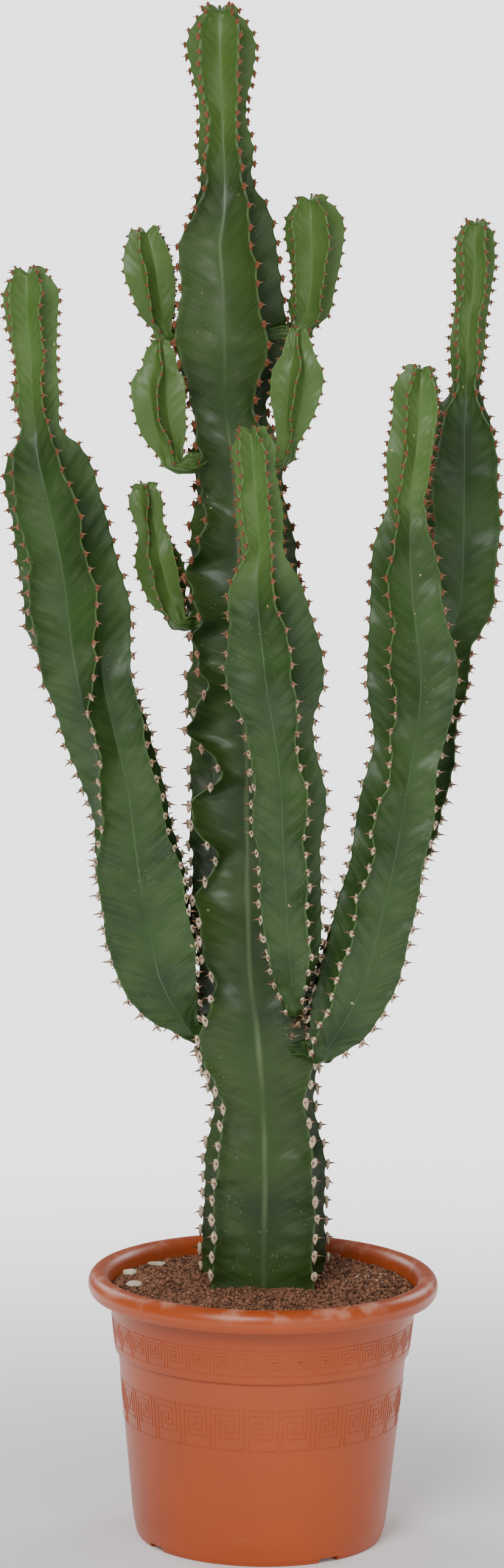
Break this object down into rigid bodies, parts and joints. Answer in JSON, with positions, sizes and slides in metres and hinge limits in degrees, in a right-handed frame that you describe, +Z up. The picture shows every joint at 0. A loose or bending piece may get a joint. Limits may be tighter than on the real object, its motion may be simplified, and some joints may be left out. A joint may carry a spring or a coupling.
{
  "type": "potted euphorbia",
  "caption": "Tall branching ribbed euphorbia with spiny wavy-edged arms, standing in soil in a round moulded plastic nursery pot.",
  "frame": {"origin": "centre of the underside of the pot, on the floor", "axes": "+Z up along the pot's axis, -Y towards the viewer of the plant's front, +X to that viewer's right"},
  "size_m": [0.3761, 0.2698, 1.1695],
  "materials": {
    "pot_plastic": "satin terracotta-coloured moulded plastic with dusty scuffs on the lip",
    "soil_mix": "gritty dry reddish-brown potting mix",
    "trunk_skin": "waxy satin plant skin, olive to dark green, corky shields along the ribs",
    "arm_skin": "waxy satin plant skin, dark green with a pale line down each hollow",
    "young_skin": "waxy satin plant skin, fresh light green",
    "pale_stone": "dull pale limestone"
  },
  "bodies": {
    "root": {"pot": "pot_plastic", "soil": "soil_mix", "trunk": "trunk_skin", "left_arm": "arm_skin", "centre_arm": "arm_skin", "right_front_arm": "arm_skin", "right_back_arm": "arm_skin", "upper_left_offset": "young_skin", "lower_left_offset": "young_skin", "small_left_offset": "young_skin", "upper_right_offset": "young_skin", "lower_right_offset": "young_skin", "stone_1": "pale_stone", "stone_2": "pale_stone", "stone_3": "pale_stone"}
  },
  "joints": []
}
